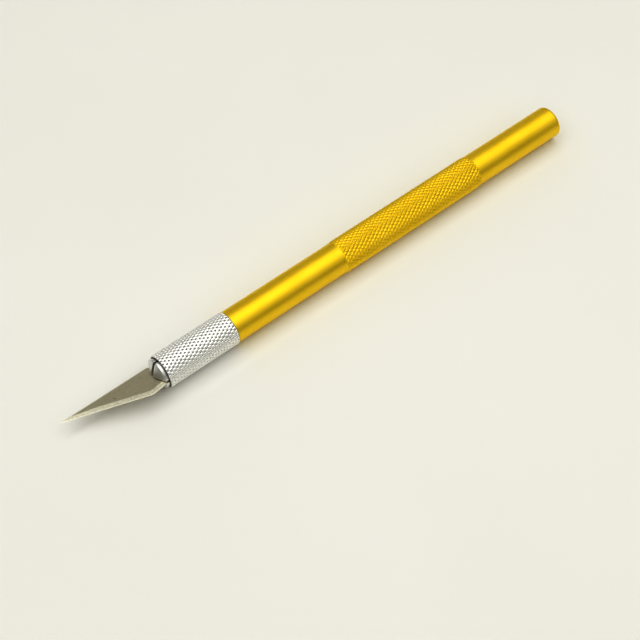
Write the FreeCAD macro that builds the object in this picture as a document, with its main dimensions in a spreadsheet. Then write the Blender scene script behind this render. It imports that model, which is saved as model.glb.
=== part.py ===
import FreeCAD, Part
import math
import os
import Sketcher

# A hobby craft knife lying on its side: tip towards -X, rear end towards +X, cutting edge towards -Y.
# It rests on the crests of its two knurled bands. The origin is on the ground below the middle of its
# length. The handle is modelled from the collar joint backwards, and every other piece from that joint
# towards the tip, with the cutting edge on +Y and the blade flat in XY; the placements turn them round.

SIZES = {
    "handle_length": 100.7,
    "handle_radius": 4.0,
    "crest_radius": 4.17,
    "grip_start": 31.6,
    "grip_length": 42.4,
    "rim_chamfer": 0.2,
    "tail_chamfer": 0.6,
    "thread_radius": 2.5,
    "thread_depth": 15.0,
    "thread_clearance": 0.05,
    "shank_length": 12.0,
    "collar_length": 19.2,
    "collar_bore": 3.2,
    "collar_mouth": 3.76,
    "cone_angle": 15.0,
    "cone_clearance": 0.05,
    "collet_start": 0.6,
    "collet_radius": 3.1,
    "jaw_root": 5.2,
    "stem_start": 6.4,
    "stem_radius": 2.85,
    "nose_length": 21.35,
    "nose_radius": 3.71,
    "nose_round": 1.3,
    "saw_cut": 0.54,
    "blade_thickness": 0.5,
    "blade_roll": 13.0,
    "tip_reach": 44.0,
    "spine_drop": 3.55,
    "spine_end": 20.9,
    "tang_start": 20.1,
    "tang_end": 6.9,
    "tang_top": 2.75,
    "tang_bottom": 3.1,
    "heel_start": 18.9,
    "heel_end": 20.7,
    "heel_height": 4.0,
    "shoulder_reach": 24.2,
    "shoulder_height": 4.5,
    "bevel_width": 1.2,
    "edge_land": 0.06,
    "tang_slot_place": 14.2,
    "tang_slot_length": 4.6,
    "tang_slot_width": 1.95,
}

# Distance of the collar joint from the middle of the knife's length, along X.
JOINT_PLACE = "(Sizes.tip_reach - Sizes.handle_length) / 2"
AXIS_HEIGHT = "Sizes.crest_radius"
WHOLE_TURN = 360
JAW_NAMES = ("jaw_upper_edge", "jaw_upper_spine", "jaw_lower_spine", "jaw_lower_edge")


def make_sheet(doc):
    """The driving dimensions, in millimetres and degrees, one named cell each."""
    sheet = doc.addObject("Spreadsheet::Sheet", "Sizes")
    for row, (alias, value) in enumerate(SIZES.items(), start=1):
        sheet.set(f"A{row}", alias)
        sheet.set(f"B{row}", str(value))
        sheet.setAlias(f"B{row}", alias)
    doc.recompute()
    return sheet


def make_body(doc, name):
    body = doc.addObject("PartDesign::Body", name)
    body.Label = name
    return body


def origin_plane(body, role):
    return next(feature for feature in body.Origin.OriginFeatures if feature.Role == role)


def make_sketch(body, name, role):
    sketch = body.newObject("Sketcher::SketchObject", name)
    sketch.AttachmentSupport = (origin_plane(body, role), [""])
    sketch.MapMode = "FlatFace"
    return sketch


def pin_point(sketch, geometry, point, across, up):
    """Hold one point of the sketch at a place given by two expressions."""
    for kind, expression in (("DistanceX", across), ("DistanceY", up)):
        value = float(sketch.evalExpression(expression))
        index = sketch.addConstraint(Sketcher.Constraint(kind, -1, 1, geometry, point, value))
        sketch.setExpression(f"Constraints[{index}]", expression)


def add_outline(sketch, corners):
    """A closed outline of straight lines through corners given as pairs of expressions."""
    places = [
        FreeCAD.Vector(float(sketch.evalExpression(across)), float(sketch.evalExpression(up)), 0)
        for across, up in corners
    ]
    count = len(places)
    for index in range(count):
        sketch.addGeometry(Part.LineSegment(places[index], places[(index + 1) % count]), False)
    for index in range(count):
        sketch.addConstraint(Sketcher.Constraint("Coincident", index, 2, (index + 1) % count, 1))
    for index, (across, up) in enumerate(corners):
        pin_point(sketch, index, 1, across, up)


def add_slot(sketch, middle, length, width):
    """A round-ended slot on the sketch's X axis: two half circles joined by two lines."""
    radius = float(sketch.evalExpression(f"({width}) / 2"))
    centre = float(sketch.evalExpression(middle))
    reach = float(sketch.evalExpression(f"(({length}) - ({width})) / 2"))
    normal = FreeCAD.Vector(0, 0, 1)
    near = FreeCAD.Vector(centre - reach, 0, 0)
    far = FreeCAD.Vector(centre + reach, 0, 0)
    side = FreeCAD.Vector(0, radius, 0)
    quarter = math.pi / 2
    sketch.addGeometry(Part.ArcOfCircle(Part.Circle(near, normal, radius), quarter, 3 * quarter), False)
    sketch.addGeometry(Part.LineSegment(near - side, far - side), False)
    sketch.addGeometry(Part.ArcOfCircle(Part.Circle(far, normal, radius), -quarter, quarter), False)
    sketch.addGeometry(Part.LineSegment(far + side, near + side), False)
    for geometry in range(4):
        sketch.addConstraint(Sketcher.Constraint("Tangent", geometry, 2, (geometry + 1) % 4, 1))
    pin_point(sketch, 0, 3, f"({middle}) - (({length}) - ({width})) / 2", "0")
    pin_point(sketch, 2, 3, f"({middle}) + (({length}) - ({width})) / 2", "0")
    index = sketch.addConstraint(Sketcher.Constraint("Radius", 0, radius))
    sketch.setExpression(f"Constraints[{index}]", f"({width}) / 2")


def revolve(body, name, corners, angle=WHOLE_TURN):
    """Turn an outline of (distance along the axis, radius) pairs about the body's X axis, from +Z to +Y."""
    sketch = make_sketch(body, f"{name}_outline", "XZ_Plane")
    add_outline(sketch, corners)
    turned = body.newObject("PartDesign::Revolution", name)
    turned.Profile = sketch
    turned.ReferenceAxis = (sketch, ["H_Axis"])
    turned.Angle = angle
    turned.Reversed = True
    body.Document.recompute()
    return turned


def cut_through(body, name, sketch):
    """Cut a sketch right through the body both ways, and make sure that it took something away."""
    before = body.Shape.Volume
    pocket = body.newObject("PartDesign::Pocket", name)
    pocket.Profile = sketch
    pocket.Type = "ThroughAll"
    pocket.Midplane = True
    body.Document.recompute()
    if body.Shape.Volume >= before:
        raise RuntimeError(f"{name} cuts nothing")
    return pocket


def edges_where(feature, test):
    """Names of a feature's edges that pass a test."""
    return [f"Edge{number}" for number, edge in enumerate(feature.Shape.Edges, start=1) if test(edge)]


def make_handle(doc):
    """Solid bar with a raised knurled band, a chamfered tail and a blind drilled hole in its front."""
    body = make_body(doc, "handle")
    bar = "Sizes.handle_radius"
    crest = "Sizes.crest_radius"
    rim = "Sizes.rim_chamfer"
    rise = "(Sizes.crest_radius - Sizes.handle_radius)"
    grip_end = "(Sizes.grip_start + Sizes.grip_length)"
    drill_tip = "Sizes.thread_depth + Sizes.thread_radius / tan(59 deg)"
    revolve(body, "bar", [
        ("0", f"Sizes.thread_radius + {rim}"),
        ("0", f"{bar} - {rim}"),
        (rim, bar),
        ("Sizes.grip_start", bar),
        (f"Sizes.grip_start + {rise}", crest),
        (f"{grip_end} - {rise}", crest),
        (grip_end, bar),
        ("Sizes.handle_length - Sizes.tail_chamfer", bar),
        ("Sizes.handle_length", f"{bar} - Sizes.tail_chamfer"),
        ("Sizes.handle_length", "0"),
        (drill_tip, "0"),
        ("Sizes.thread_depth", "Sizes.thread_radius"),
        (rim, "Sizes.thread_radius"),
    ])
    return body


def make_collar(doc):
    """Knurled sleeve whose bore flares into a conical mouth at the front."""
    body = make_body(doc, "collar")
    crest = "Sizes.crest_radius"
    rim = "Sizes.rim_chamfer"
    flare = "(Sizes.collar_mouth - Sizes.collar_bore) / tan(Sizes.cone_angle * 1 deg)"
    revolve(body, "sleeve", [
        ("0", "Sizes.collar_bore"),
        ("0", f"{crest} - {rim}"),
        (rim, crest),
        (f"Sizes.collar_length - {rim}", crest),
        ("Sizes.collar_length", f"{crest} - {rim}"),
        ("Sizes.collar_length", "Sizes.collar_mouth"),
        (f"Sizes.collar_length - {flare}", "Sizes.collar_bore"),
    ])
    return body


def make_collet_shank(doc):
    """The collet behind its saw cuts: a body that fills the collar's bore and a shank for the handle."""
    body = make_body(doc, "collet_shank")
    rim = "Sizes.rim_chamfer"
    thread = "(Sizes.thread_radius - Sizes.thread_clearance)"
    revolve(body, "shank", [
        ("Sizes.jaw_root", "0"),
        ("Sizes.jaw_root", "Sizes.collet_radius"),
        (f"Sizes.collet_start + {rim}", "Sizes.collet_radius"),
        ("Sizes.collet_start", f"Sizes.collet_radius - {rim}"),
        ("Sizes.collet_start", thread),
        (f"{rim} - Sizes.shank_length", thread),
        ("-Sizes.shank_length", f"{thread} - {rim}"),
        ("-Sizes.shank_length", "0"),
    ])
    return body


def make_jaw(doc, name):
    """One quarter of the collet's sawn head, from the root of the cuts to the rounded nose."""
    body = make_body(doc, name)
    cone = "tan(Sizes.cone_angle * 1 deg)"
    # The jaw's cone runs parallel to the collar's flare, a clearance inside it.
    mouth = "(Sizes.collar_mouth - Sizes.cone_clearance)"
    head = revolve(body, "head", [
        ("Sizes.jaw_root", "0"),
        ("Sizes.jaw_root", "Sizes.collet_radius"),
        ("Sizes.stem_start", "Sizes.collet_radius"),
        ("Sizes.stem_start + Sizes.collet_radius - Sizes.stem_radius", "Sizes.stem_radius"),
        (f"Sizes.collar_length - ({mouth} - Sizes.stem_radius) / {cone}", "Sizes.stem_radius"),
        (f"Sizes.collar_length - ({mouth} - Sizes.nose_radius) / {cone}", "Sizes.nose_radius"),
        ("Sizes.nose_length", "Sizes.nose_radius"),
        ("Sizes.nose_length", "0"),
    ], angle=WHOLE_TURN / len(JAW_NAMES))
    nose = SIZES["nose_length"]
    rim_edges = edges_where(head, lambda edge: hasattr(edge.Curve, "Radius")
                            and abs(edge.Curve.Radius - SIZES["nose_radius"]) < 1e-6
                            and abs(edge.CenterOfMass.x - nose) < 1e-6)
    rounding = body.newObject("PartDesign::Fillet", "nose_rounding")
    rounding.Base = (head, rim_edges)
    rounding.setExpression("Radius", "Sizes.nose_round")
    doc.recompute()
    for role, label in (("XY_Plane", "cross_cut"), ("XZ_Plane", "blade_cut")):
        sketch = make_sketch(body, f"{label}_outline", role)
        add_outline(sketch, [
            ("Sizes.jaw_root", "0"),
            ("Sizes.nose_length", "0"),
            ("Sizes.nose_length", "Sizes.saw_cut / 2"),
            ("Sizes.jaw_root", "Sizes.saw_cut / 2"),
        ])
        cut_through(body, label, sketch)
    return body


def blade_corners(bevelled):
    """The blade's outline, and inside it the outline that the ground bevels leave on each flat."""
    edge_slope = "atan((Sizes.shoulder_height + Sizes.spine_drop) / (Sizes.tip_reach - Sizes.shoulder_reach))"
    heel_slope = "atan((Sizes.shoulder_height - Sizes.heel_height) / (Sizes.shoulder_reach - Sizes.heel_end))"
    inset = "Sizes.bevel_width" if bevelled else "0"
    # The bevel keeps its width round the shoulder, so its corner lies on the corner's bisector.
    reach = f"{inset} / cos(({edge_slope} + {heel_slope}) / 2)"
    lean = f"(({edge_slope} - {heel_slope}) / 2)"
    return [
        (f"Sizes.tip_reach - {inset} / sin({edge_slope})", "-Sizes.spine_drop"),
        (f"Sizes.shoulder_reach - {reach} * sin({lean})", f"Sizes.shoulder_height - {reach} * cos({lean})"),
        ("Sizes.heel_end", f"Sizes.heel_height - {inset} / cos({heel_slope})"),
        ("Sizes.heel_start", "Sizes.tang_bottom"),
        ("Sizes.tang_end", "Sizes.tang_bottom"),
        ("Sizes.tang_end", "-Sizes.tang_top"),
        ("Sizes.tang_start", "-Sizes.tang_top"),
        ("Sizes.spine_end", "-Sizes.spine_drop"),
    ]


def make_blade(doc):
    """Thin pointed blade, ground from both flats to a cutting edge, with a slot in its tang."""
    body = make_body(doc, "blade")
    middle = make_sketch(body, "middle_outline", "XY_Plane")
    add_outline(middle, blade_corners(bevelled=False))
    core = body.newObject("PartDesign::Pad", "core")
    core.Profile = middle
    core.setExpression("Length", "Sizes.edge_land")
    core.Midplane = True
    sections = []
    for name, bevelled, lift in (("edge", False, "Sizes.edge_land"), ("flat", True, "Sizes.blade_thickness")):
        section = make_sketch(body, f"{name}_outline", "XY_Plane")
        section.setExpression("AttachmentOffset.Base.z", f"{lift} / 2")
        add_outline(section, blade_corners(bevelled))
        sections.append(section)
    ground_side = body.newObject("PartDesign::AdditiveLoft", "ground_side")
    ground_side.Profile = sections[0]
    ground_side.Sections = sections[1:]
    ground_side.Ruled = True
    doc.recompute()
    other_side = body.newObject("PartDesign::Mirrored", "other_side")
    other_side.Originals = [ground_side]
    other_side.MirrorPlane = (origin_plane(body, "XY_Plane"), [""])
    body.Tip = other_side
    doc.recompute()
    slot = make_sketch(body, "tang_slot_outline", "XY_Plane")
    add_slot(slot, "Sizes.tang_slot_place", "Sizes.tang_slot_length", "Sizes.tang_slot_width")
    cut_through(body, "tang_slot", slot)
    return body


def place(body, turn_round, roll):
    """Put a piece on the knife's axis, turned to face the tip if asked, and rolled by an expression."""
    half_turn = 180 if turn_round else 0
    rotation = f"rotation(vector(0; 0; 1); {half_turn}) * rotation(vector(1; 0; 0); {roll})"
    body.setExpression("Placement", f"placement(vector({JOINT_PLACE}; 0; {AXIS_HEIGHT}); {rotation})")


def check(doc, bodies):
    for item in doc.Objects:
        if "Invalid" in item.State or "Error" in item.State:
            raise RuntimeError(f"{item.Name} failed: {item.State}")
    for body in bodies:
        if body.Shape.isNull() or not body.Shape.isValid():
            raise RuntimeError(f"{body.Label} has no valid shape")


def main():
    doc = FreeCAD.newDocument("craft_knife")
    make_sheet(doc)
    handle = make_handle(doc)
    collar = make_collar(doc)
    shank = make_collet_shank(doc)
    blade = make_blade(doc)
    jaws = [make_jaw(doc, name) for name in JAW_NAMES]
    place(handle, turn_round=False, roll="0")
    place(collar, turn_round=True, roll="0")
    place(shank, turn_round=True, roll="Sizes.blade_roll")
    place(blade, turn_round=True, roll="Sizes.blade_roll")
    for quarter, jaw in enumerate(jaws):
        place(jaw, turn_round=True, roll=f"Sizes.blade_roll + {quarter * WHOLE_TURN / len(jaws)}")
    doc.recompute()
    bodies = [handle, collar, shank, blade] + jaws
    check(doc, bodies)
    os.makedirs("parts", exist_ok=True)
    for body in bodies:
        body.Shape.exportStep(f"parts/{body.Label}.step")
        box = body.Shape.BoundBox
        print(f"{body.Label}: {body.Shape.Volume:.2f} mm3, X {box.XMin:.2f} to {box.XMax:.2f},"
              f" Y {box.YMin:.2f} to {box.YMax:.2f}, Z {box.ZMin:.2f} to {box.ZMax:.2f}")


main()
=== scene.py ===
import math

import bmesh
import bpy
from mathutils import Matrix, Vector


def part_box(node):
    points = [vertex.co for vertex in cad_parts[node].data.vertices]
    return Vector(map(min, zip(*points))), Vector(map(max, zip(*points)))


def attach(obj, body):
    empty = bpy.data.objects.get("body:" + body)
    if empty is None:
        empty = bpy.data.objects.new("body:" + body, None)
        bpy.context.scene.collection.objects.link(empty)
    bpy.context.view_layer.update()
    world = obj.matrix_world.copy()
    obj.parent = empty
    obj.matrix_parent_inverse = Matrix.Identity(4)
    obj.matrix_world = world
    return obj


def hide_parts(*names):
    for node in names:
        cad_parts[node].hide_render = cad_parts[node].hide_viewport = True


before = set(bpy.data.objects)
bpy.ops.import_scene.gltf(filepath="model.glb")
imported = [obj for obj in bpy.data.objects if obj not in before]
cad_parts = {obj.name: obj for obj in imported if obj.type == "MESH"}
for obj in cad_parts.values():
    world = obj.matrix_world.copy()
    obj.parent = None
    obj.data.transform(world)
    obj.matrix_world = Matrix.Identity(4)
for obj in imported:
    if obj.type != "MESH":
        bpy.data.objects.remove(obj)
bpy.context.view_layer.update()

# Lengths are in metres, but for the outlines of the jaws and the blade, which are in millimetres.
# The knife lies along X with its tip towards -X and its edge towards -Y. The collar, the collet and
# the blade are described from the joint between collar and handle forwards.
MM = 0.001
HANDLE_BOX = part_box("handle")
COLLAR_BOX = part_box("collar")
AXIS_HEIGHT = (HANDLE_BOX[0][2] + HANDLE_BOX[1][2]) / 2
JOINT_X = HANDLE_BOX[0][0]
TAIL_X = HANDLE_BOX[1][0]
CREST_RADIUS = (HANDLE_BOX[1][2] - HANDLE_BOX[0][2]) / 2
COLLAR_LENGTH = COLLAR_BOX[1][0] - COLLAR_BOX[0][0]

BAR_RADIUS = 4.0 * MM
GRIP_START = 31.6 * MM
GRIP_LENGTH = 42.4 * MM
RIM_CHAMFER = 0.2 * MM
TAIL_CHAMFER = 0.6 * MM
THREAD_RADIUS = 2.5 * MM
THREAD_DEPTH = 15.0 * MM
THREAD_PITCH = 0.8 * MM
THREAD_CUT = 0.35 * MM
SHANK_RADIUS = 2.45 * MM
SHANK_LENGTH = 12.0 * MM
COLLET_START = 0.6 * MM
COLLET_RADIUS = 3.1 * MM
JAW_ROOT = 5.2 * MM
COLLAR_BORE = 3.2 * MM
COLLAR_MOUTH = 3.7 * MM
COLLAR_LIP = 3.77 * MM
CONE_SLOPE = math.tan(math.radians(15))
SAW_CUT = 0.54 * MM
SAW_EDGE = 0.05 * MM
NOSE_FLARE_START = 19.6 * MM
NOSE_FLARE = 0.1
ROLL = math.radians(13)

# The diamond knurl, cut by two sets of crossing grooves.
KNURL_AROUND = 27
KNURL_PITCH = 1.6 * MM
KNURL_STEPS = 8
GRIP_DEPTH = 0.22 * MM
COLLAR_DEPTH = 0.3 * MM
KNURL_RUNOUT = 0.35 * MM
# The share of round pits in each pattern, the rest being plain grooves.
GRIP_PITS = 0.25
COLLAR_PITS = 0.7

# A row this close to a knurled band keeps the band's uneven shading off the plain bar beside it.
GUARD = 0.05 * MM
# The collar and the handle touch at the joint, and are drawn just clear of each other.
JOINT_GAP = 0.01 * MM

# Outline of one collet jaw in millimetres: distance from the joint and radius, from the root of the saw
# cuts along the stem, up the cone and over the rim to the face of the nose.
JAW_PROFILE = (
    (5.2, 3.08), (6.35, 3.08), (6.6, 2.85), (15.99, 2.85),
    (18.9, 3.62), (19.3, 3.62), (19.36, 3.66), (19.44, 3.69),
    (20.0, 3.69), (20.08, 3.66), (20.15, 3.58), (20.2, 3.5),
    (20.5, 2.97), (20.85, 2.3), (21.15, 1.64), (21.35, 1.15),
)
JAW_STEPS = 28

# The blade in millimetres from the joint forwards, with the cutting edge on the positive side.
BLADE_THICKNESS = 0.5
BLADE_TIP = (44.0, -3.55)
BLADE_SHOULDER = (24.2, 4.5)
BLADE_HEEL = (20.7, 4.0)
BLADE_BACK = ((18.9, 3.1), (6.9, 3.1), (6.9, -2.75), (20.1, -2.75), (20.9, -3.55))
SHOULDER_ROUND = 1.0
BEVEL_WIDTH = 1.15
EDGE_BEVEL_WIDTH = 0.1
EDGE_BEVEL_RISE = 0.05
SPINE_CHAMFER = 0.42
SPINE_CHAMFER_DROP = 0.22
TANG_SLOT_MIDDLE = 14.2
TANG_SLOT_LENGTH = 4.6
TANG_SLOT_WIDTH = 1.95


def rolled(x, y, z, roll):
    """World place of a point given forwards from the joint, to the edge's side and up, after a roll."""
    across = y * math.cos(roll) - z * math.sin(roll)
    up = y * math.sin(roll) + z * math.cos(roll)
    return Vector((JOINT_X - x, -across, AXIS_HEIGHT + up))


def finish_mesh(name, shape, materials, body, node, smooth_angle=35):
    """Make a closed shape into a piece that rides on a body and stands for a CAD node."""
    bmesh.ops.recalc_face_normals(shape, faces=shape.faces)
    mesh = bpy.data.meshes.new(name)
    shape.to_mesh(mesh)
    shape.free()
    for material in materials:
        mesh.materials.append(material)
    mesh.shade_smooth()
    mesh.set_sharp_from_angle(angle=math.radians(smooth_angle))
    piece = bpy.data.objects.new(name, mesh)
    bpy.context.scene.collection.objects.link(piece)
    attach(piece, body)
    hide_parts(node)


def join_rings(shape, ring, after):
    """Faces between two rings of the same number of points."""
    count = len(ring)
    return [
        shape.faces.new((ring[step], ring[(step + 1) % count], after[(step + 1) % count], after[step]))
        for step in range(count)
    ]


def knurl_height(turn, along, pitted):
    """Height of the knurl, 0 at its deepest and 1 on the flats, mixed from pits and whole grooves."""
    first = abs(2 * ((turn * KNURL_AROUND + along / KNURL_PITCH) % 1.0) - 1)
    second = abs(2 * ((turn * KNURL_AROUND - along / KNURL_PITCH) % 1.0) - 1)
    grooves = min(first, second, 0.8) / 0.8
    pits = 1 - max((1 - first) * (1 - second) - 0.3, 0) / 0.7
    return pitted * pits + (1 - pitted) * grooves


class Lathe:
    """A turned surface built row by row along X, each row a ring of points round the knife's axis."""

    def __init__(self, segments):
        self.segments = segments
        self.shape = bmesh.new()
        self.last = None

    def point(self, x, radius, turn):
        angle = 2 * math.pi * turn
        place = (x, radius * math.sin(angle), AXIS_HEIGHT + radius * math.cos(angle))
        return self.shape.verts.new(place)

    def row(self, x, radius):
        """Add a ring of one radius, and join it to the ring before."""
        self.join([self.point(x, radius, step / self.segments) for step in range(self.segments)])

    def join(self, ring):
        if self.last:
            join_rings(self.shape, self.last, ring)
        self.last = ring

    def pattern(self, start, end, cell, radius_at):
        """Add rows of a varying radius, with a middle point in every cell to keep crossing grooves sharp."""
        count = round(abs(end - start) / cell)
        step_x = (end - start) / count
        for index in range(count + 1):
            x = start + index * step_x
            ring = [
                self.point(x, radius_at(x, step / self.segments), step / self.segments)
                for step in range(self.segments)
            ]
            if index == 0:
                self.join(ring)
                continue
            middle_x = x - step_x / 2
            for step in range(self.segments):
                after = (step + 1) % self.segments
                turn = (step + 0.5) / self.segments
                middle = self.point(middle_x, radius_at(middle_x, turn), turn)
                around = (self.last[step], self.last[after], ring[after], ring[step])
                for corner in range(4):
                    self.shape.faces.new((around[corner], around[(corner + 1) % 4], middle))
            self.last = ring

    def cap(self):
        """Close the surface with one flat face over the last ring."""
        self.shape.faces.new(self.last)


def make_handle(material):
    """Solid bar with a knurled grip, a rounded tail and a blind hole in its front."""
    lathe = Lathe(2 * KNURL_STEPS * KNURL_AROUND)
    grip_start = JOINT_X + GRIP_START
    grip_end = grip_start + GRIP_LENGTH

    def grip_radius(x, turn):
        inside = min(x - grip_start, grip_end - x) / KNURL_RUNOUT
        strength = min(max(inside, 0), 1)
        knurled = CREST_RADIUS - GRIP_DEPTH * (1 - knurl_height(turn, x, GRIP_PITS))
        return BAR_RADIUS + strength * (knurled - BAR_RADIUS)

    lathe.row(JOINT_X + THREAD_DEPTH, THREAD_RADIUS)
    lathe.cap()
    for depth, radius in (
        (RIM_CHAMFER, THREAD_RADIUS),
        (0, THREAD_RADIUS + RIM_CHAMFER),
        (0, BAR_RADIUS - RIM_CHAMFER),
        (0.25 * RIM_CHAMFER, BAR_RADIUS - 0.3 * RIM_CHAMFER),
        (RIM_CHAMFER, BAR_RADIUS),
        (RIM_CHAMFER + GUARD, BAR_RADIUS),
        (GRIP_START - GUARD, BAR_RADIUS),
    ):
        lathe.row(JOINT_X + depth, radius)
    lathe.pattern(grip_start, grip_end, KNURL_PITCH / (2 * KNURL_STEPS), grip_radius)
    lathe.row(grip_end + GUARD, BAR_RADIUS)
    lathe.row(TAIL_X - TAIL_CHAMFER - GUARD, BAR_RADIUS)
    for step in range(7):
        angle = math.radians(15 * step)
        inset = TAIL_CHAMFER * (1 - math.cos(angle))
        lathe.row(TAIL_X - TAIL_CHAMFER * (1 - math.sin(angle)), BAR_RADIUS - inset)
    lathe.cap()
    finish_mesh("handle_bar", lathe.shape, [material], "handle", "handle")


def make_collar(material):
    """Knurled sleeve with a bore that flares into a conical mouth at the front."""
    lathe = Lathe(2 * KNURL_STEPS * KNURL_AROUND)
    front = JOINT_X - COLLAR_LENGTH
    rear = JOINT_X - JOINT_GAP

    def sleeve_radius(x, turn):
        edge = min(x - front, rear - x)
        limit = CREST_RADIUS - RIM_CHAMFER + min(edge, RIM_CHAMFER)
        return min(CREST_RADIUS - COLLAR_DEPTH * (1 - knurl_height(turn, x, COLLAR_PITS)), limit)

    flare = (COLLAR_MOUTH - COLLAR_BORE) / CONE_SLOPE
    lathe.row(rear, COLLAR_BORE)
    first = lathe.last
    lathe.row(front + flare + RIM_CHAMFER, COLLAR_BORE)
    lathe.row(front + RIM_CHAMFER, COLLAR_MOUTH)
    lathe.row(front, COLLAR_LIP)
    lathe.pattern(front, rear, KNURL_PITCH / (2 * KNURL_STEPS), sleeve_radius)
    lathe.join(first)
    finish_mesh("collar_sleeve", lathe.shape, [material], "collar", "collar")


def make_shank(material):
    """The collet behind its saw cuts, with a screw thread for the handle."""
    lathe = Lathe(48)

    def thread_radius(x, turn):
        from_start = (JOINT_X - COLLET_START - x) / -THREAD_PITCH
        to_end = (JOINT_X + SHANK_LENGTH - x) / THREAD_PITCH
        runout = min(from_start, to_end, 1)
        groove = abs(2 * ((x / THREAD_PITCH + turn) % 1.0) - 1)
        return SHANK_RADIUS - THREAD_CUT * (1 - groove) * max(runout, 0)

    lathe.row(JOINT_X - JAW_ROOT, COLLET_RADIUS)
    lathe.cap()
    lathe.row(JOINT_X - COLLET_START - RIM_CHAMFER, COLLET_RADIUS)
    lathe.row(JOINT_X - COLLET_START, COLLET_RADIUS - RIM_CHAMFER)
    thread_end = JOINT_X + SHANK_LENGTH - RIM_CHAMFER
    lathe.pattern(JOINT_X - COLLET_START, thread_end, THREAD_PITCH / 8, thread_radius)
    lathe.row(JOINT_X + SHANK_LENGTH, SHANK_RADIUS - RIM_CHAMFER)
    lathe.cap()
    finish_mesh("collet_thread", lathe.shape, [material], "collet", "collet_shank")


def make_jaw(name, quarter, material):
    """One sawn quarter of the collet's head, with the sharp edges of the cuts taken off."""
    shape = bmesh.new()
    roll = ROLL + quarter * math.pi / 2
    last = None
    for along, radius in JAW_PROFILE:
        x = along * MM
        outer = radius * MM
        cut = SAW_CUT / 2 + max(x - NOSE_FLARE_START, 0) * NOSE_FLARE
        flat_end = math.sqrt(outer ** 2 - cut ** 2) - SAW_EDGE
        start = math.asin((cut + SAW_EDGE) / outer)
        angles = [start + (math.pi / 2 - 2 * start) * step / JAW_STEPS for step in range(JAW_STEPS + 1)]
        places = [(cut, cut), (flat_end, cut)]
        places += [(outer * math.cos(angle), outer * math.sin(angle)) for angle in angles]
        places.append((cut, flat_end))
        ring = [shape.verts.new(rolled(x, y, z, roll)) for y, z in places]
        if last:
            join_rings(shape, last, ring)
        else:
            shape.faces.new(ring)
        last = ring
    shape.faces.new(last)
    finish_mesh(f"{name}_finger", shape, [material], name, name, smooth_angle=30)


def edge_line():
    """The cutting edge from tip to heel, round the shoulder, as points with the direction into the blade."""
    tip, shoulder, heel = Vector(BLADE_TIP), Vector(BLADE_SHOULDER), Vector(BLADE_HEEL)
    before = shoulder + (tip - shoulder).normalized() * SHOULDER_ROUND
    after = shoulder + (heel - shoulder).normalized() * SHOULDER_ROUND
    points = [tip, tip.lerp(before, 0.4)]
    for step in range(9):
        share = step / 8
        points.append(before.lerp(shoulder, share).lerp(shoulder.lerp(after, share), share))
    points.append(heel)
    line = []
    for index, point in enumerate(points):
        ahead = points[min(index + 1, len(points) - 1)] - points[max(index - 1, 0)]
        line.append((point, Vector((-ahead.y, ahead.x)).normalized()))
    return line


def blade_ring(shape, inset, edge_height, back_inset, back_height):
    """One ring of points round the blade: the edge moved in by its own amount, and the rest by another."""
    ring = []
    for index, (point, inwards) in enumerate(edge_line()):
        place = point + inwards * inset
        if index == 0:
            slope = math.atan2(BLADE_SHOULDER[1] - BLADE_TIP[1], BLADE_TIP[0] - BLADE_SHOULDER[0])
            place = Vector((point.x - inset / math.sin(slope), point.y + min(back_inset, inset)))
        ring.append((place.x, place.y, edge_height))
    for x, y in BLADE_BACK:
        moved = y - back_inset if y > 0 else y + back_inset
        ring.append((x, moved, back_height))
    return [shape.verts.new(rolled(x * MM, y * MM, z * MM, ROLL)) for x, y, z in ring]


def slot_ring(shape, height):
    """The round-ended slot in the tang."""
    radius = TANG_SLOT_WIDTH / 2
    reach = TANG_SLOT_LENGTH / 2 - radius
    ring = []
    for step in range(24):
        angle = 2 * math.pi * (step + 0.5) / 24
        x = TANG_SLOT_MIDDLE + math.copysign(reach, math.cos(angle)) + radius * math.cos(angle)
        ring.append(shape.verts.new(rolled(x * MM, radius * math.sin(angle) * MM, height * MM, ROLL)))
    return ring


def ring_edges(shape, ring):
    return [shape.edges.get((ring[step], ring[(step + 1) % len(ring)])) for step in range(len(ring))]


def make_blade(flat, ground):
    """Thin pointed blade with ground bevels, a finer cutting bevel, a chamfered back and a slotted tang."""
    shape = bmesh.new()
    half = BLADE_THICKNESS / 2
    last_point = len(edge_line()) - 1
    sides = []
    for side in (1, -1):
        back_height = side * (half - SPINE_CHAMFER_DROP)
        sides.append([
            blade_ring(shape, BEVEL_WIDTH, side * half, SPINE_CHAMFER, side * half),
            blade_ring(shape, EDGE_BEVEL_WIDTH, side * EDGE_BEVEL_RISE, 0, back_height),
        ])
    edge = blade_ring(shape, 0, 0, 0, 0)
    rings = [*sides[0], edge, *reversed(sides[1])]
    for before, after in zip(rings, rings[1:]):
        faces = join_rings(shape, before, after)
        for face in (*faces[:last_point], faces[-1]):
            face.material_index = 1
    slots = [slot_ring(shape, half), slot_ring(shape, -half)]
    join_rings(shape, *slots)
    for outline, slot in ((rings[0], slots[0]), (rings[-1], slots[1])):
        edges = ring_edges(shape, outline) + ring_edges(shape, slot)
        bmesh.ops.triangle_fill(shape, edges=edges, use_beauty=True)
    finish_mesh("blade_ground", shape, [flat, ground], "blade", "blade", smooth_angle=4)


# The part of a noise's range that is stretched out, the narrower one for more contrast.
NOISE_RANGE = (0.3, 0.7)
CLOUD_RANGE = (0.35, 0.65)


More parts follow.
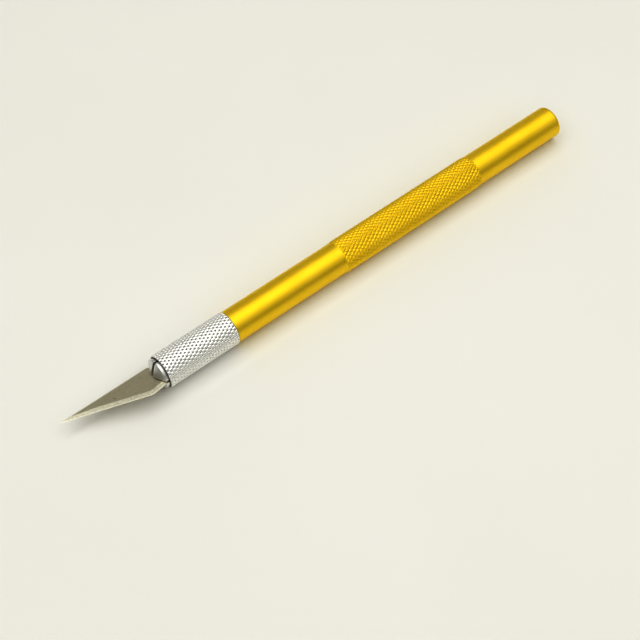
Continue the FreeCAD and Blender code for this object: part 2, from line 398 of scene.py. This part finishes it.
class Surface:
    """A procedural material in the making. An input given as a socket is linked, and a value is set."""

    def __init__(self, name, metallic=1.0):
        self.material = bpy.data.materials.new(name)
        self.material.use_nodes = True
        self.tree = self.material.node_tree
        self.shader = self.tree.nodes["Principled BSDF"]
        self.shader.inputs["Metallic"].default_value = metallic
        self.place = self.add("ShaderNodeTexCoord", {}, "Object")

    def add(self, kind, inputs, output=0, **settings):
        node = self.tree.nodes.new(kind)
        for key, value in settings.items():
            setattr(node, key, value)
        for key, value in inputs.items():
            self.feed(node.inputs[key], value)
        return node.outputs[output]

    def feed(self, socket, value):
        if isinstance(value, bpy.types.NodeSocket):
            self.tree.links.new(value, socket)
        else:
            socket.default_value = value

    def noise(self, per_metre, detail=3.0):
        """Noise with so many features to the metre along X, Y and Z."""
        stretched = self.add("ShaderNodeVectorMath", {0: self.place, 1: per_metre}, operation="MULTIPLY")
        return self.add("ShaderNodeTexNoise", {
            "Vector": stretched, "Scale": 1.0, "Detail": detail, "Roughness": 0.55,
        })

    def spread(self, value, from_range, to_range=(0, 1)):
        """Stretch one range of a value onto another."""
        return self.add("ShaderNodeMapRange", {
            "Value": value, "From Min": from_range[0], "From Max": from_range[1],
            "To Min": to_range[0], "To Max": to_range[1],
        })

    def mix(self, factor, low, high):
        """A colour between two, each given as red, green and blue or as a socket."""
        colours = [
            colour if isinstance(colour, bpy.types.NodeSocket) else (*colour, 1)
            for colour in (low, high)
        ]
        return self.add("ShaderNodeMix", {0: factor, 6: colours[0], 7: colours[1]}, 2, data_type="RGBA")

    def radius(self):
        """Distance from the knife's axis."""
        axis = (0, 0, AXIS_HEIGHT)
        from_axis = self.add("ShaderNodeVectorMath", {0: self.place, 1: axis}, operation="SUBTRACT")
        flat = self.add("ShaderNodeVectorMath", {0: from_axis, 1: (0, 1, 1)}, operation="MULTIPLY")
        return self.add("ShaderNodeVectorMath", {0: flat}, "Value", operation="LENGTH")

    def finish(self, colour, roughness, height, distance, strength):
        bump = self.add("ShaderNodeBump", {"Height": height, "Distance": distance, "Strength": strength})
        self.feed(self.shader.inputs["Base Color"], colour)
        self.feed(self.shader.inputs["Roughness"], roughness)
        self.feed(self.shader.inputs["Normal"], bump)
        return self.material


def gold_anodised():
    """Gold dyed aluminium, drawn lengthwise before it was anodised."""
    surface = Surface("gold_anodised")
    streaks = surface.noise((90, 2600, 2600))
    grain = surface.noise((5200, 5200, 5200), detail=2.0)
    clouds = surface.noise((120, 260, 260), detail=2.0)
    colour = surface.mix(surface.spread(clouds, CLOUD_RANGE), (0.93, 0.69, 0.042), (0.97, 0.725, 0.052))
    roughness = surface.spread(grain, NOISE_RANGE, (0.42, 0.5))
    both = surface.add("ShaderNodeMath", {0: streaks, 1: grain}, operation="ADD")
    return surface.finish(colour, roughness, both, 0.004 * MM, 0.6)


def bare_aluminium():
    """Bare aluminium, with painted shade darkening the bottom of the knurl's pits."""
    surface = Surface("bare_aluminium")
    grain = surface.noise((4200, 4200, 4200))
    clouds = surface.noise((300, 300, 300))
    metal = surface.mix(surface.spread(clouds, CLOUD_RANGE), (0.91, 0.91, 0.885), (0.96, 0.96, 0.935))
    # Painted shade: the colour turns near black towards the bottom of the knurl's pits, going by the
    # distance from the axis.
    pit_shade_radii = (CREST_RADIUS - 0.8 * COLLAR_DEPTH, CREST_RADIUS - 0.4 * COLLAR_DEPTH)
    pit_shade_mask = surface.spread(surface.radius(), pit_shade_radii)
    colour = surface.mix(pit_shade_mask, (0.16, 0.155, 0.13), metal)
    roughness = surface.spread(grain, NOISE_RANGE, (0.3, 0.42))
    return surface.finish(colour, roughness, grain, 0.004 * MM, 0.4)


def collet_metal():
    """Turned aluminium with fine rings left by the tool."""
    surface = Surface("collet_metal")
    rings = surface.noise((9000, 60, 60), detail=2.0)
    grain = surface.noise((3500, 3500, 3500))
    colour = surface.mix(surface.spread(grain, NOISE_RANGE), (0.74, 0.74, 0.725), (0.82, 0.82, 0.80))
    roughness = surface.spread(grain, NOISE_RANGE, (0.34, 0.44))
    return surface.finish(colour, roughness, rings, 0.008 * MM, 0.6)


def blade_flat():
    """Flats of the blade: dull rolled carbon steel with scattered specks and scuffs."""
    surface = Surface("blade_flat")
    grain = surface.noise((3600, 3600, 3600), detail=4.0)
    scuffs = surface.noise((260, 2400, 2400), detail=2.0)
    specks = surface.noise((1300, 1300, 1300), detail=1.0)
    base = surface.mix(surface.spread(grain, NOISE_RANGE), (0.56, 0.52, 0.385), (0.66, 0.62, 0.475))
    light = surface.mix(surface.spread(scuffs, (0.6, 0.78), (0, 0.5)), base, (0.78, 0.76, 0.64))
    colour = surface.mix(surface.spread(specks, (0.70, 0.76), (0, 0.8)), light, (0.22, 0.20, 0.15))
    roughness = surface.spread(grain, NOISE_RANGE, (0.3, 0.42))
    return surface.finish(colour, roughness, grain, 0.006 * MM, 0.6)


def blade_ground_steel():
    """Bevels of the blade: brighter steel with grinding lines across the edge."""
    surface = Surface("blade_bevel")
    lines = surface.noise((4200, 240, 240), detail=3.0)
    grain = surface.noise((2600, 2600, 2600), detail=4.0)
    colour = surface.mix(surface.spread(grain, NOISE_RANGE), (0.6, 0.58, 0.46), (0.84, 0.82, 0.69))
    roughness = surface.spread(lines, NOISE_RANGE, (0.26, 0.36))
    return surface.finish(colour, roughness, lines, 0.008 * MM, 0.2)


def paper():
    """Smooth warm white paper."""
    surface = Surface("paper", metallic=0.0)
    clouds = surface.noise((9, 9, 9))
    fibres = surface.noise((1500, 1500, 1500), detail=4.0)
    colour = surface.mix(surface.spread(clouds, NOISE_RANGE), (0.92, 0.92, 0.875), (0.94, 0.94, 0.9))
    roughness = surface.spread(fibres, NOISE_RANGE, (0.75, 0.9))
    return surface.finish(colour, roughness, fibres, 0.01 * MM, 0.3)


def make_floor():
    mesh = bpy.data.meshes.new("floor")
    shape = bmesh.new()
    bmesh.ops.create_grid(shape, x_segments=1, y_segments=1, size=3.0)
    shape.to_mesh(mesh)
    shape.free()
    floor = bpy.data.objects.new("floor", mesh)
    bpy.context.scene.collection.objects.link(floor)
    mesh.materials.append(paper())


# The photo's camera, fitted to the handle's outline. Its aim is in millimetres right of the joint and up.
CAMERA_AZIMUTH = math.radians(-38.86)
CAMERA_ELEVATION = math.radians(55.24)
CAMERA_DISTANCE = 342.2 * MM
CAMERA_AIM = (20.6, 1.74)
CAMERA_LENS = 84.4
CAMERA_SENSOR = 36

# The soft boxes' distance, length and colour, and the room's two greys.
LIGHT_DISTANCE = 0.6
LIGHT_LENGTH = 1.4
LIGHT_COLOUR = (1.0, 0.99, 0.96)
ROOM_DARK = (0.12, 0.12, 0.12, 1)
ROOM_PALE = (0.21, 0.207, 0.197, 1)
VIEW_GAMMA = 0.64


def make_camera():
    """A long lens from the front, above and on the edge's side of the knife."""
    level = math.cos(CAMERA_ELEVATION)
    azimuth = CAMERA_AZIMUTH
    back = Vector((math.sin(azimuth) * level, -math.cos(azimuth) * level, math.sin(CAMERA_ELEVATION)))
    right = Vector((math.cos(azimuth), math.sin(azimuth), 0))
    up = back.cross(right)
    joint = Vector((JOINT_X, 0, AXIS_HEIGHT))
    target = joint + right * CAMERA_AIM[0] * MM + up * CAMERA_AIM[1] * MM
    camera = bpy.data.objects.new("camera", bpy.data.cameras.new("camera"))
    camera.data.lens = CAMERA_LENS
    camera.data.sensor_width = CAMERA_SENSOR
    camera.data.clip_start = 0.01
    facing = Matrix((right, up, back)).transposed().to_4x4()
    camera.matrix_world = Matrix.Translation(target + back * CAMERA_DISTANCE) @ facing
    bpy.context.scene.collection.objects.link(camera)
    bpy.context.scene.camera = camera


def add_soft_box(name, angle, width, radiance):
    """An even rectangle of light that faces the knife, leaning by an angle from overhead towards +Y."""
    light = bpy.data.lights.new(name, "AREA")
    light.shape = "RECTANGLE"
    light.size = LIGHT_LENGTH
    light.size_y = width
    light.color = LIGHT_COLOUR
    light.energy = radiance * math.pi * light.size * light.size_y
    box = bpy.data.objects.new(name, light)
    lean = math.radians(angle)
    box.location = (0, LIGHT_DISTANCE * math.sin(lean), LIGHT_DISTANCE * math.cos(lean))
    box.rotation_euler = (-lean, 0, 0)
    bpy.context.scene.collection.objects.link(box)


def add_ramp(nodes, low, high):
    """A node that rises from 0 to 1 as its value goes from low to high."""
    ramp = nodes.new("ShaderNodeMapRange")
    ramp.inputs["From Min"].default_value = low
    ramp.inputs["From Max"].default_value = high
    return ramp


def make_room():
    """An even pale room that is darker low down past the knife's tip."""
    world = bpy.data.worlds.new("room")
    bpy.context.scene.world = world
    world.use_nodes = True
    nodes, links = world.node_tree.nodes, world.node_tree.links
    place = nodes.new("ShaderNodeTexCoord")
    axes = nodes.new("ShaderNodeSeparateXYZ")
    past_tip = add_ramp(nodes, -0.75, -0.2)
    above = add_ramp(nodes, 0.15, 0.5)
    light_share = nodes.new("ShaderNodeMath")
    light_share.operation = "MAXIMUM"
    shade = nodes.new("ShaderNodeMix")
    shade.data_type = "RGBA"
    shade.inputs[6].default_value = ROOM_DARK
    shade.inputs[7].default_value = ROOM_PALE
    links.new(place.outputs["Generated"], axes.inputs[0])
    links.new(axes.outputs["X"], past_tip.inputs["Value"])
    links.new(axes.outputs["Z"], above.inputs["Value"])
    links.new(past_tip.outputs["Result"], light_share.inputs[0])
    links.new(above.outputs["Result"], light_share.inputs[1])
    links.new(light_share.outputs[0], shade.inputs[0])
    links.new(shade.outputs[2], nodes["Background"].inputs["Color"])


def make_lights():
    """A soft box overhead, and weaker ones low at the front and the back."""
    add_soft_box("overhead", 1, 0.74, 1.38)
    add_soft_box("front", -46, 0.34, 0.62)
    add_soft_box("back", 62, 0.36, 0.4)


def set_view():
    """The standard view with more contrast."""
    settings = bpy.context.scene.view_settings
    settings.view_transform = "Standard"
    settings.gamma = VIEW_GAMMA


make_handle(gold_anodised())
make_collar(bare_aluminium())
turned = collet_metal()
make_shank(turned)
for quarter, name in enumerate(("jaw_upper_edge", "jaw_upper_spine", "jaw_lower_spine", "jaw_lower_edge")):
    make_jaw(name, quarter, turned)
make_blade(blade_flat(), blade_ground_steel())
make_floor()
make_camera()
make_lights()
make_room()
set_view()
